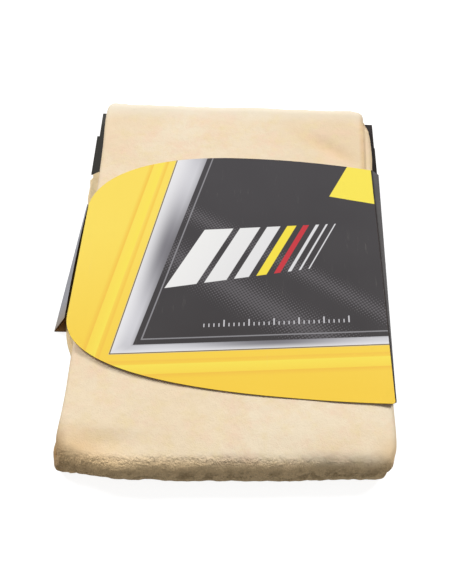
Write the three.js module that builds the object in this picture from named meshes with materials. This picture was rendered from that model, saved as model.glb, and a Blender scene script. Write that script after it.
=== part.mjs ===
// A folded chamois skin held in a glued card sleeve, lying flat.
// Millimetres, +Z up, +Y from the near end to the far end. The origin is under the middle of the
// folded skin, in the plane of the sleeve's underside.
import * as THREE from "three";

// Skin: folded in three across its width, then both ends turned under to meet in the middle.
const skinThickness = 1.2;
const skinFoldedWidth = 206;
const skinFoldedLength = 305;
const skinLengthTaper = 7.5;
const skinStackHeight = 22;
const skinUpperInset = 4;
const skinBundleGap = 0.6;
const skinEndGap = 2;
const skinEdgeInset = 3;
const skinOuterLeafShort = 4;

// Board and the clearances around it
const boardThickness = 0.5;
const creaseSetback = 0.6;
const boardGap = 0.3;
const skinTopClearance = 0.4;
const rightSideClearance = 5.7;
const leftSideClearance = 6.4;

// Glue between the flap and the front panel
const glueThickness = 0.3;
const glueClearance = 0.1;
const glueSpotRadius = 4.5;
const glueSpotPitch = 32;

// Sleeve in plan: the right side is nearly square to the near end, the left side flares towards it,
// and both walls twist a little. The sleeve is placed along the skin by its header, which reaches a
// little past the skin's far end.
const rightWallTaper = 2.2;
const rightWallFarLean = 9.8;
const rightWallNearLean = 4.9;
const leftWallFlare = 8.6;
const leftWallFarLean = 7.5;
const leftWallNearLean = 13.4;
const frontCreaseLength = 187.3;
const frontSeamLength = 95.2;
const seamFarDrop = 37.7;
const frontFarCrown = 9.3;
const frontNearCrown = 2;
const leftWallFarSlant = 20.8;
const leftWallFarInset = 1.2;
const leftWallNearInset = 4.2;
const rightWallFarSlant = 18.8;
const rightWallNearSlant = 12;
const glueFlapWidth = 15;
const glueFlapChamfer = 6;
const backShelfWidth = 13;

// Curved edges of the front and back panels: places of their control points, as shares of a panel's
// width across, and of the seam's length or the near crown up or down
const controlShare = 0.25;
const nearControlShare = 0.29;
const nearFlatShare = 0.215;
const nearCornerDownShare = 0.3;
const nearRiseShare = 4;
const farCornerInShare = 0.065;
const farCornerUpShare = 0.34;
const backCornerInShare = 0.1;
const backCornerDownShare = 0.23;

// Header: the back panel runs on past the walls and its end is folded back over itself.
const headerRightStep = 1.6;
const headerLeftStep = 1.3;
const headerLength = 59;
const headerOverhang = 6.2;
const headerSkew = 6.7;
const headerNotchDepth = 4.5;
const headerNotchLength = 31;
const headerFlapLength = 65.5;
const headerReliefLength = 25;
const headerReliefDepth = 1.8;
const headerRightReliefShare = 0.3;
const headerFlapChamfer = 9;

// Steps of the round stretches
const smallLoopSteps = 4;
const largeLoopSteps = 5;
const outerLeafSteps = 4;
const innerLeafSteps = 3;
const endRollSteps = 7;
const upperRunSteps = 4;
const lowerRunSteps = 3;
const curveSteps = 12;
const twistedWallSteps = 8;
const spotSteps = 20;

// Colours, roughness
const chamoisFinish = { color: 0xecd5ae, roughness: 0.95, metalness: 0 };
const charcoalFinish = { color: 0x474344, roughness: 0.55, metalness: 0 };
const silverFinish = { color: 0x8c8b90, roughness: 0.5, metalness: 0 };
const rawBoardFinish = { color: 0x8a7358, roughness: 0.9, metalness: 0 };
const glueFinish = { color: 0xe8dcb8, roughness: 0.35, metalness: 0 };

// Heights of the layers, from the surface up
const backTop = boardThickness;
const headerFlapBase = backTop + boardGap;
const skinBase = headerFlapBase + boardThickness + boardGap;
const skinTop = skinBase + skinStackHeight;
const glueFlapBase = skinTop + skinTopClearance;
const glueFlapTop = glueFlapBase + boardThickness;
const frontBase = glueFlapTop + glueThickness + 2 * glueClearance;
const halfBoard = boardThickness / 2;
const backMiddle = halfBoard;
const glueFlapMiddle = glueFlapBase + halfBoard;
const frontMiddle = frontBase + halfBoard;

// Places of the four creases in plan
const headerFarY = skinFoldedLength / 2 + headerOverhang;
const rightBackFarX = skinFoldedWidth / 2 + rightSideClearance;
const rightBackNearX = rightBackFarX - rightWallTaper;
const rightFrontFarX = rightBackFarX - rightWallFarLean;
const rightFrontNearX = rightBackNearX - rightWallNearLean;
const rightBackFarY = headerFarY - headerLength;
const rightFrontFarY = rightBackFarY - rightWallFarSlant;
const rightFrontNearY = rightFrontFarY - frontCreaseLength;
const rightBackNearY = rightFrontNearY + rightWallNearSlant;
const leftBackFarX = -(skinFoldedWidth / 2 + leftSideClearance);
const leftBackNearX = leftBackFarX - leftWallFlare;
const leftTopFarX = leftBackFarX + leftWallFarLean;
const leftTopNearX = leftBackNearX + leftWallNearLean;
const seamFarX = leftTopFarX - creaseSetback;
const seamNearX = leftTopNearX - creaseSetback;
const seamFarY = rightFrontFarY - seamFarDrop;
const seamNearY = seamFarY - frontSeamLength;
const frontWidth = (rightFrontFarX + rightFrontNearX - seamFarX - seamNearX) / 2;
const leftTopFarY = seamFarY - leftWallFarInset;
const leftTopNearY = seamNearY + leftWallNearInset;
const leftBackFarY = seamFarY + leftWallFarSlant;
const leftBackNearY = leftTopNearY;

function mesh(name, geometry, finish) {
  const piece = new THREE.Mesh(geometry, new THREE.MeshStandardMaterial(finish));
  piece.name = name;
  return piece;
}

function geometryOf(points, triangles) {
  const geometry = new THREE.BufferGeometry().setFromPoints(points);
  geometry.setIndex(triangles);
  geometry.computeVertexNormals();
  return geometry;
}

// Two triangles for the corners a, b, c, d, which run anticlockwise seen from outside.
function quad(triangles, a, b, c, d) {
  triangles.push(a, b, c, a, c, d);
}

// The skin's cross-section: the middle line of three leaves, as places across the width and heights
// above the plane where the two bundles meet.
const bundleHeight = (skinStackHeight - skinBundleGap) / 2;
const leafPitch = (bundleHeight - skinThickness) / 2;
const halfSkin = skinThickness / 2;
const innerLevel = halfSkin;
const middleLevel = innerLevel + leafPitch;
const outerLevel = middleLevel + leafPitch;
const largeLoopX = skinFoldedWidth / 2 - halfSkin - leafPitch;
const smallLoopX = -(skinFoldedWidth / 2 - halfSkin - leafPitch / 2);
const innerEdgeX = -(skinFoldedWidth / 2 - skinEdgeInset);
const middleEdgeX = largeLoopX - skinOuterLeafShort;

// Points of a flat leaf from one place to another, without its last point.
function leafPoints(fromX, toX, level, steps) {
  const direction = Math.sign(toX - fromX);
  return Array.from({ length: steps }, (_, i) => ({
    x: THREE.MathUtils.lerp(fromX, toX, i / steps),
    height: level,
    normalX: 0,
    normalHeight: direction,
  }));
}

// Points of a loop about its middle, from one angle to another, without its last point.
function loopPoints(centreX, centreHeight, radius, fromAngle, toAngle, steps) {
  return Array.from({ length: steps }, (_, i) => {
    const angle = THREE.MathUtils.lerp(fromAngle, toAngle, i / steps);
    return {
      x: centreX + radius * Math.cos(angle),
      height: centreHeight + radius * Math.sin(angle),
      normalX: Math.cos(angle),
      normalHeight: Math.sin(angle),
    };
  });
}

function skinSection() {
  const smallRadius = leafPitch / 2;
  const middleLeaf = leafPoints(middleEdgeX, smallLoopX, middleLevel, innerLeafSteps);
  const smallCentre = middleLevel + smallRadius;
  const quarter = Math.PI / 2;
  const smallLoop = loopPoints(smallLoopX, smallCentre, smallRadius, 3 * quarter, quarter, smallLoopSteps);
  const outerLeaf = leafPoints(smallLoopX, largeLoopX, outerLevel, outerLeafSteps);
  const largeLoop = loopPoints(largeLoopX, middleLevel, leafPitch, quarter, -quarter, largeLoopSteps);
  const innerLeaf = leafPoints(largeLoopX, innerEdgeX, innerLevel, innerLeafSteps);
  const lastPoint = { x: innerEdgeX, height: innerLevel, normalX: 0, normalHeight: -1 };
  return [...middleLeaf, ...smallLoop, ...outerLeaf, ...largeLoop, ...innerLeaf, lastPoint];
}

// The run of the folded stack: from its near free end, round the near roll, over the top, round the
// far roll and back to its far free end. Each row places a height above the meeting plane.
const rollCentreZ = skinBase + skinStackHeight / 2;
const rollCentreY = skinFoldedLength / 2 - skinStackHeight / 2;
const innerRadius = skinBundleGap / 2;

// How far the turned-under run of a leaf reaches, so that every leaf has the same length.
function lowerRunLength(height) {
  const innermost = rollCentreY - skinEndGap / 2;
  return innermost - Math.PI * (height - innerLevel);
}

function runRows() {
  const rows = [];
  const add = (count, place) => {
    for (let i = 0; i < count; i++) rows.push(place(i / count));
  };
  const lower = (end) => (share) => ({
    spread: 1,
    place: (height) => {
      const reach = lowerRunLength(height) * share;
      return [end * (rollCentreY - reach), rollCentreZ - innerRadius - height];
    },
  });
  const roll = (end) => (share) => {
    const angle = Math.PI * share;
    return {
      spread: (1 + Math.cos(angle)) / 2,
      place: (height) => [
        end * (rollCentreY + (innerRadius + height) * Math.sin(angle)),
        rollCentreZ - (innerRadius + height) * Math.cos(angle),
      ],
    };
  };
  const upper = (share) => ({
    spread: 0,
    place: (height) => [
      THREE.MathUtils.lerp(-rollCentreY, rollCentreY, share),
      rollCentreZ + innerRadius + height,
    ],
  });
  add(lowerRunSteps, (share) => lower(-1)(1 - share));
  add(endRollSteps, roll(-1));
  add(upperRunSteps, upper);
  add(endRollSteps, (share) => roll(1)(1 - share));
  add(lowerRunSteps + 1, (share) => lower(1)((share * (lowerRunSteps + 1)) / lowerRunSteps));
  return rows;
}

function makeSkin() {
  const section = skinSection();
  const rows = runRows();
  const count = section.length;
  const upperScale = 1 - (2 * skinUpperInset) / skinFoldedWidth;
  const taper = skinLengthTaper / skinFoldedLength;
  const points = [];
  for (const row of rows) {
    const widthScale = THREE.MathUtils.lerp(upperScale, 1, row.spread);
    for (const side of [halfSkin, -halfSkin]) {
      for (const point of section) {
        const [y, z] = row.place(point.height + side * point.normalHeight);
        const x = (point.x + side * point.normalX) * widthScale;
        points.push(new THREE.Vector3(x, y * (1 - (taper * x) / skinFoldedWidth), z));
      }
    }
  }
  const triangles = [];
  const ring = 2 * count;
  const at = (row, side, i) => row * ring + side * count + i;
  for (let row = 0; row + 1 < rows.length; row++) {
    for (let i = 0; i + 1 < count; i++) {
      quad(triangles, at(row, 0, i), at(row, 0, i + 1), at(row + 1, 0, i + 1), at(row + 1, 0, i));
      quad(triangles, at(row, 1, i), at(row + 1, 1, i), at(row + 1, 1, i + 1), at(row, 1, i + 1));
    }
    const end = count - 1;
    quad(triangles, at(row, 0, 0), at(row + 1, 0, 0), at(row + 1, 1, 0), at(row, 1, 0));
    quad(triangles, at(row, 0, end), at(row, 1, end), at(row + 1, 1, end), at(row + 1, 0, end));
  }
  const last = rows.length - 1;
  for (let i = 0; i + 1 < count; i++) {
    quad(triangles, at(0, 0, i), at(0, 1, i), at(0, 1, i + 1), at(0, 0, i + 1));
    quad(triangles, at(last, 0, i), at(last, 0, i + 1), at(last, 1, i + 1), at(last, 1, i));
  }
  return geometryOf(points, triangles);
}

// A flat board cut to an outline in plan, lying with its underside at the given height.
function flatBoard(outline, base) {
  const geometry = new THREE.ExtrudeGeometry(outline, {
    depth: boardThickness,
    bevelEnabled: false,
    curveSegments: curveSteps,
  });
  geometry.translate(0, 0, base);
  return geometry;
}

// The end of a wall's line, set back from its crease towards the other crease.
function setBack(from, towards) {
  return from.clone().lerp(towards, creaseSetback / from.distanceTo(towards));
}

// A wall between its back crease and its front crease, clear of both. Each crease is given by its
// left and right end as seen from outside, and the wall twists evenly where they aren't parallel.
function wallBetween(backLeft, backRight, frontLeft, frontRight, steps) {
  const points = [];
  for (let i = 0; i <= steps; i++) {
    const back = backLeft.clone().lerp(backRight, i / steps);
    const front = frontLeft.clone().lerp(frontRight, i / steps);
    const low = setBack(back, front);
    const high = setBack(front, back);
    const along = backRight.clone().sub(backLeft);
    const outward = along.cross(front.clone().sub(back)).setLength(halfBoard);
    points.push(low.clone().add(outward), high.clone().add(outward));
    points.push(high.clone().sub(outward), low.clone().sub(outward));
  }
  const triangles = [];
  const corners = 4;
  for (let i = 0; i < steps; i++) {
    const here = i * corners;
    const next = here + corners;
    quad(triangles, here, next, next + 1, here + 1);
    quad(triangles, here + 1, next + 1, next + 2, here + 2);
    quad(triangles, here + 3, here + 2, next + 2, next + 3);
    quad(triangles, here, here + 3, next + 3, next);
  }
  const last = steps * corners;
  quad(triangles, 0, 1, 2, 3);
  quad(triangles, last + 3, last + 2, last + 1, last);
  return geometryOf(points, triangles);
}

function makeFrontPanel() {
  const outline = new THREE.Shape();
  const creaseFarX = rightFrontFarX - creaseSetback;
  const creaseNearX = rightFrontNearX - creaseSetback;
  const middleX = (seamFarX + creaseFarX) / 2;
  const farTop = rightFrontFarY + frontFarCrown;
  const nearBottom = rightFrontNearY - frontNearCrown;
  const controlWidth = frontWidth * controlShare;
  const nearFlatX = middleX + frontWidth * nearFlatShare;
  const nearControlX = middleX - frontWidth * nearControlShare;
  const nearCornerY = seamNearY - frontSeamLength * nearCornerDownShare;
  const nearRiseY = nearBottom + frontNearCrown * nearRiseShare;
  const nearFlatY = nearBottom + frontNearCrown;
  const roundStartX = creaseNearX - frontNearCrown;
  const farCornerX = seamFarX + frontSeamLength * farCornerInShare;
  const farCornerY = seamFarY + frontSeamLength * farCornerUpShare;
  outline.moveTo(seamNearX, seamNearY);
  outline.bezierCurveTo(seamNearX, nearCornerY, nearControlX, nearRiseY, nearFlatX, nearFlatY);
  outline.quadraticCurveTo((nearFlatX + creaseNearX) / 2, nearBottom, roundStartX, nearBottom);
  outline.quadraticCurveTo(creaseNearX, nearBottom, creaseNearX, rightFrontNearY);
  outline.lineTo(creaseFarX, rightFrontFarY);
  outline.quadraticCurveTo(creaseFarX - controlWidth, farTop, middleX, farTop);
  outline.bezierCurveTo(middleX - controlWidth, farTop, farCornerX, farCornerY, seamFarX, seamFarY);
  outline.closePath();
  return flatBoard(outline, frontBase);
}

function makeBackPanel() {
  const outline = new THREE.Shape();
  const rightNearX = rightBackNearX - creaseSetback;
  const rightFarX = rightBackFarX - creaseSetback;
  const leftNearX = leftBackNearX + creaseSetback;
  const leftFarX = leftBackFarX + creaseSetback;
  const headerRightX = rightBackFarX - headerRightStep;
  const headerLeftX = leftBackFarX + headerLeftStep;
  const notchX = headerLeftX + headerNotchDepth;
  const shelfX = leftNearX + backShelfWidth;
  const cornerX = shelfX + frontSeamLength * backCornerInShare;
  const cornerY = leftBackNearY - frontSeamLength * backCornerDownShare;
  const controlX = rightNearX - frontWidth / 2;
  outline.moveTo(leftNearX, leftBackNearY);
  outline.lineTo(shelfX, leftBackNearY);
  outline.bezierCurveTo(cornerX, cornerY, controlX, rightBackNearY, rightNearX, rightBackNearY);
  outline.lineTo(rightFarX, rightBackFarY);
  outline.lineTo(headerRightX, rightBackFarY);
  outline.lineTo(headerRightX, headerFarY - headerSkew);
  outline.lineTo(headerLeftX, headerFarY);
  outline.lineTo(headerLeftX, leftBackFarY + headerNotchLength);
  outline.lineTo(notchX, leftBackFarY + headerNotchLength);
  outline.lineTo(notchX, leftBackFarY);
  outline.lineTo(leftFarX, leftBackFarY);
  outline.closePath();
  return flatBoard(outline, 0);
}

function makeHeaderFlap() {
  const outline = new THREE.Shape();
  const leftX = leftBackFarX + headerLeftStep;
  const rightX = rightBackFarX - headerRightStep;
  const leftFoldY = headerFarY - boardGap;
  const rightFoldY = leftFoldY - headerSkew;
  const wideLeftX = leftX - headerReliefDepth;
  const wideRightX = rightX + headerReliefDepth * headerRightReliefShare;
  outline.moveTo(wideLeftX, leftFoldY - headerFlapLength);
  outline.lineTo(wideRightX - headerFlapChamfer, rightFoldY - headerFlapLength);
  outline.lineTo(wideRightX, rightBackFarY + boardGap);
  outline.lineTo(wideRightX, rightFoldY - headerReliefLength);
  outline.lineTo(rightX, rightFoldY - headerReliefLength);
  outline.lineTo(rightX, rightFoldY);
  outline.lineTo(leftX, leftFoldY);
  outline.lineTo(leftX, leftFoldY - headerReliefLength);
  outline.lineTo(wideLeftX, leftFoldY - headerReliefLength);
  outline.closePath();
  return flatBoard(outline, headerFlapBase);
}

function makeRightWall() {
  return wallBetween(
    new THREE.Vector3(rightBackNearX, rightBackNearY, backMiddle),
    new THREE.Vector3(rightBackFarX, rightBackFarY, backMiddle),
    new THREE.Vector3(rightFrontNearX, rightFrontNearY, frontMiddle),
    new THREE.Vector3(rightFrontFarX, rightFrontFarY, frontMiddle),
    twistedWallSteps,
  );
}

function makeLeftWall() {
  return wallBetween(
    new THREE.Vector3(leftBackFarX, leftBackFarY, backMiddle),
    new THREE.Vector3(leftBackNearX, leftBackNearY, backMiddle),
    new THREE.Vector3(leftTopFarX, leftTopFarY, glueFlapMiddle),
    new THREE.Vector3(leftTopNearX, leftTopNearY, glueFlapMiddle),
    twistedWallSteps,
  );
}

function makeGlueFlap() {
  const outline = new THREE.Shape();
  outline.moveTo(leftTopNearX + creaseSetback, leftTopNearY);
  outline.lineTo(leftTopNearX + glueFlapWidth, leftTopNearY + glueFlapChamfer);
  outline.lineTo(leftTopFarX + glueFlapWidth, leftTopFarY - glueFlapChamfer);
  outline.lineTo(leftTopFarX + creaseSetback, leftTopFarY);
  outline.closePath();
  return flatBoard(outline, glueFlapBase);
}

function makeGlueSpot(place) {
  const geometry = new THREE.CylinderGeometry(glueSpotRadius, glueSpotRadius, glueThickness, spotSteps);
  geometry.rotateX(Math.PI / 2);
  const middleX = (leftTopFarX + leftTopNearX) / 2 + glueFlapWidth / 2;
  const middleY = (leftTopFarY + leftTopNearY) / 2;
  const middleZ = glueFlapTop + glueClearance + glueThickness / 2;
  geometry.translate(middleX, middleY + place * glueSpotPitch, middleZ);
  return geometry;
}

const sleeve = new THREE.Group();
sleeve.add(mesh("back_panel", makeBackPanel(), rawBoardFinish));
sleeve.add(mesh("header_flap", makeHeaderFlap(), charcoalFinish));
sleeve.add(mesh("left_wall", makeLeftWall(), silverFinish));
sleeve.add(mesh("glue_flap", makeGlueFlap(), silverFinish));
[-1, 0, 1].forEach((place, i) => {
  sleeve.add(mesh(`glue_spot_${i + 1}`, makeGlueSpot(place), glueFinish));
});
sleeve.add(mesh("right_wall", makeRightWall(), charcoalFinish));
sleeve.add(mesh("front_panel", makeFrontPanel(), charcoalFinish));

const group = new THREE.Group();
group.add(mesh("chamois_skin", makeSkin(), chamoisFinish));
group.add(sleeve);

export default group;
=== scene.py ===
"""Looks of a folded chamois skin in a printed card sleeve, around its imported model. Metres."""

import bisect
import math

import bmesh
import bpy
from mathutils import Matrix, Vector, noise
from mathutils.geometry import interpolate_bezier


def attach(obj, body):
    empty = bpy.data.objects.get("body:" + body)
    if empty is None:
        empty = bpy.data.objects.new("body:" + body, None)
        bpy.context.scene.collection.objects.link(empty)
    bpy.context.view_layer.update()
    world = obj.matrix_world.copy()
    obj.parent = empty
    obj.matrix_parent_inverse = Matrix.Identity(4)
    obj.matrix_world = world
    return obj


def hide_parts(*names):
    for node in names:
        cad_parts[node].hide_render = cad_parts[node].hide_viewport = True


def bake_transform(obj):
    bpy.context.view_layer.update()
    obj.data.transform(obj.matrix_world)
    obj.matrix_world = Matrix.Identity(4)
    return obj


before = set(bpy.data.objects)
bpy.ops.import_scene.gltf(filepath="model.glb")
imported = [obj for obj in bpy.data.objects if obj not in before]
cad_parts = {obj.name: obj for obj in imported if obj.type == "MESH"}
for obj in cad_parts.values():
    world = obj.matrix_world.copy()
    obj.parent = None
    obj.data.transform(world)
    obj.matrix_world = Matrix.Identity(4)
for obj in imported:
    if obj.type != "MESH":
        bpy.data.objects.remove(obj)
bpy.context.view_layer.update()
MM = 0.001

# Camera

CAMERA_PLACE = Vector((6.9, -352.7, 492.1)) * MM
CAMERA_DOWN = math.radians(55.29)
CAMERA_HEADING = math.radians(-1.84)
CAMERA_ROLL = math.radians(-0.11)
CAMERA_LENS = 53.40


def place_camera():
    data = bpy.data.cameras.new("camera")
    data.lens = CAMERA_LENS
    camera = bpy.data.objects.new("camera", data)
    bpy.context.scene.collection.objects.link(camera)
    level = math.cos(CAMERA_DOWN)
    look = Vector((
        math.sin(CAMERA_HEADING) * level,
        math.cos(CAMERA_HEADING) * level,
        -math.sin(CAMERA_DOWN),
    ))
    right = Vector((math.cos(CAMERA_HEADING), -math.sin(CAMERA_HEADING), 0))
    up = right.cross(look)
    turn = Matrix.Rotation(CAMERA_ROLL, 3, "Z")
    facing = Matrix((right, up, -look)).transposed() @ turn
    camera.matrix_world = Matrix.Translation(CAMERA_PLACE) @ facing.to_4x4()
    bpy.context.scene.camera = camera


place_camera()
bpy.context.scene.view_settings.view_transform = "Standard"

# Shader helpers

FLOAT, VECTOR = "NodeSocketFloat", "NodeSocketVector"


def tone(red, green, blue):
    """A colour given as it looks on a screen, 0 to 255, as the shader wants it."""
    def linear(value):
        share = value / 255
        return share / 12.92 if share <= 0.04045 else ((share + 0.055) / 1.055) ** 2.4
    return (linear(red), linear(green), linear(blue), 1.0)


def place(tree, kind, inputs=None, **settings):
    """A node with its settings, and its inputs set or linked."""
    made = tree.nodes.new(kind)
    for name, value in settings.items():
        setattr(made, name, value)
    for key, value in (inputs or {}).items():
        if isinstance(value, bpy.types.NodeSocket):
            tree.links.new(value, made.inputs[key])
        else:
            made.inputs[key].default_value = value
    return made


def maths(tree, operation, first, second=0.0, clamp=False):
    inputs = {0: first, 1: second}
    return place(tree, "ShaderNodeMath", inputs, operation=operation, use_clamp=clamp).outputs[0]


def product(tree, first, *others):
    for other in others:
        first = maths(tree, "MULTIPLY", first, other)
    return first


def ramp(tree, value, low, high, to_low=0.0, to_high=1.0, smooth=False):
    """A value that runs from to_low at low to to_high at high, and is level beyond them."""
    kind = "SMOOTHSTEP" if smooth else "LINEAR"
    inputs = {
        "Value": value, "From Min": low, "From Max": high, "To Min": to_low, "To Max": to_high,
    }
    return place(tree, "ShaderNodeMapRange", inputs, interpolation_type=kind).outputs[0]


def blend_colours(tree, share, first, second):
    """From the first colour to the second. The mix node has its colours at inputs 6 and 7 and at
    output 2."""
    inputs = {0: share, 6: first, 7: second}
    return place(tree, "ShaderNodeMix", inputs, data_type="RGBA").outputs[2]


def layered(tree, colour, layers):
    """A colour with others laid over it in turn, each given as (share, colour)."""
    for share, over in layers:
        colour = blend_colours(tree, share, colour, over)
    return colour


def object_place(tree, scale=(1, 1, 1), turn=(0, 0, 0), centre=(0, 0, 0)):
    source = place(tree, "ShaderNodeTexCoord").outputs["Object"]
    inputs = {"Vector": source, "Location": centre, "Rotation": turn, "Scale": scale}
    return place(tree, "ShaderNodeMapping", inputs).outputs[0]


def axes(tree, vector):
    """The X, Y and Z of a vector."""
    return place(tree, "ShaderNodeSeparateXYZ", {0: vector}).outputs[:]


def noise_value(tree, where, scale, detail=2.0, rough=0.5, warp=0.0):
    inputs = {
        "Vector": where, "Scale": scale, "Detail": detail, "Roughness": rough, "Distortion": warp,
    }
    return place(tree, "ShaderNodeTexNoise", inputs).outputs[0]


def apart(tree, first, second):
    return maths(tree, "ABSOLUTE", maths(tree, "SUBTRACT", first, second))


def raise_surface(tree, shader, height, strength, distance):
    inputs = {"Height": height, "Strength": strength, "Distance": distance}
    tree.links.new(place(tree, "ShaderNodeBump", inputs).outputs[0], shader.inputs["Normal"])


def start_material(name, **constants):
    """A Principled material, with its constants on the shader's own sockets."""
    material = bpy.data.materials.new(name)
    material.use_nodes = True
    tree = material.node_tree
    shader = tree.nodes["Principled BSDF"]
    for label, value in constants.items():
        shader.inputs[label.replace("_", " ")].default_value = value
    return material, tree, shader


# Node groups

# Height of the fibres' clumps against the fibres, and the mean of both together
CLUMP_HEIGHT = 1.8
MEAN_FIBRE_HEIGHT = 0.5 + 0.5 * CLUMP_HEIGHT


def start_group(name, inputs, outputs):
    """A node group with named inputs (name, kind, default) and outputs (name, kind)."""
    group = bpy.data.node_groups.new(name, "ShaderNodeTree")
    for label, kind, default in inputs:
        socket = group.interface.new_socket(label, in_out="INPUT", socket_type=kind)
        if default is not None:
            socket.default_value = default
    for label, kind in outputs:
        group.interface.new_socket(label, in_out="OUTPUT", socket_type=kind)
    return group, group.nodes.new("NodeGroupInput"), group.nodes.new("NodeGroupOutput")


def finish_group(group, result, **outputs):
    for label, value in outputs.items():
        group.links.new(value, result.inputs[label])
    return group


def make_fibre_group():
    """Short matted fibres: a speckle between 0 and 1, and a height."""
    group, given, result = start_group(
        "matted_fibre",
        [("Place", VECTOR, None), ("Fibre Size", FLOAT, 0.001), ("Clump Size", FLOAT, 0.006)],
        [("Speckle", FLOAT), ("Height", FLOAT)],
    )
    where = given.outputs["Place"]
    fine = maths(group, "DIVIDE", 1.0, given.outputs["Fibre Size"])
    coarse = maths(group, "DIVIDE", 1.0, given.outputs["Clump Size"])
    fibres = noise_value(group, where, fine, detail=3.0, rough=0.65, warp=0.2)
    clumps = noise_value(group, where, coarse, detail=3.0, rough=0.6, warp=0.1)
    speckle = maths(group, "ADD", product(group, fibres, 0.55), product(group, clumps, 0.45))
    height = maths(group, "ADD", fibres, product(group, clumps, CLUMP_HEIGHT))
    return finish_group(group, result, Speckle=ramp(group, speckle, 0.34, 0.66), Height=height)


def make_ink_group():
    """Handling marks of printed board: a little scuffing of the ink, and an uneven varnish."""
    group, given, result = start_group(
        "handled_ink",
        [("Place", VECTOR, None), ("Scuffing", FLOAT, 0.05), ("Varnish", FLOAT, 0.4)],
        [("Scuff", FLOAT), ("Roughness", FLOAT), ("Height", FLOAT)],
    )
    where = given.outputs["Place"]
    stretch = {"Vector": where, "Rotation": (0, 0, 0.6), "Scale": (1, 0.12, 1)}
    stretched = place(group, "ShaderNodeMapping", stretch).outputs[0]
    streaks = noise_value(group, stretched, 420.0, detail=4.0, rough=0.7)
    patches = noise_value(group, where, 26.0)
    grain = noise_value(group, where, 1400.0)
    worn = product(group, ramp(group, streaks, 0.62, 0.78), ramp(group, patches, 0.45, 0.7))
    uneven = ramp(group, patches, 0.3, 0.7, -0.05, 0.05)
    return finish_group(
        group, result,
        Scuff=product(group, worn, given.outputs["Scuffing"]),
        Roughness=maths(group, "ADD", given.outputs["Varnish"], uneven),
        Height=maths(group, "ADD", grain, product(group, patches, 4.0)),
    )


matted_fibre = make_fibre_group()
handled_ink = make_ink_group()


def add_fibre(tree, where, fibre_size, clump_size):
    """The speckle and the height of matted fibres."""
    inputs = {"Place": where, "Fibre Size": fibre_size, "Clump Size": clump_size}
    fibre = place(tree, "ShaderNodeGroup", inputs, node_tree=matted_fibre)
    return fibre.outputs["Speckle"], fibre.outputs["Height"]


# Materials

# Slants of two marks at the skin's far right, in its shape and in its tints: the dent falls in Y
# by this share of X, and the ledge leans in X by this share of Y
DENT_SLOPE = 0.62
LEDGE_LEAN = 0.03


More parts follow.
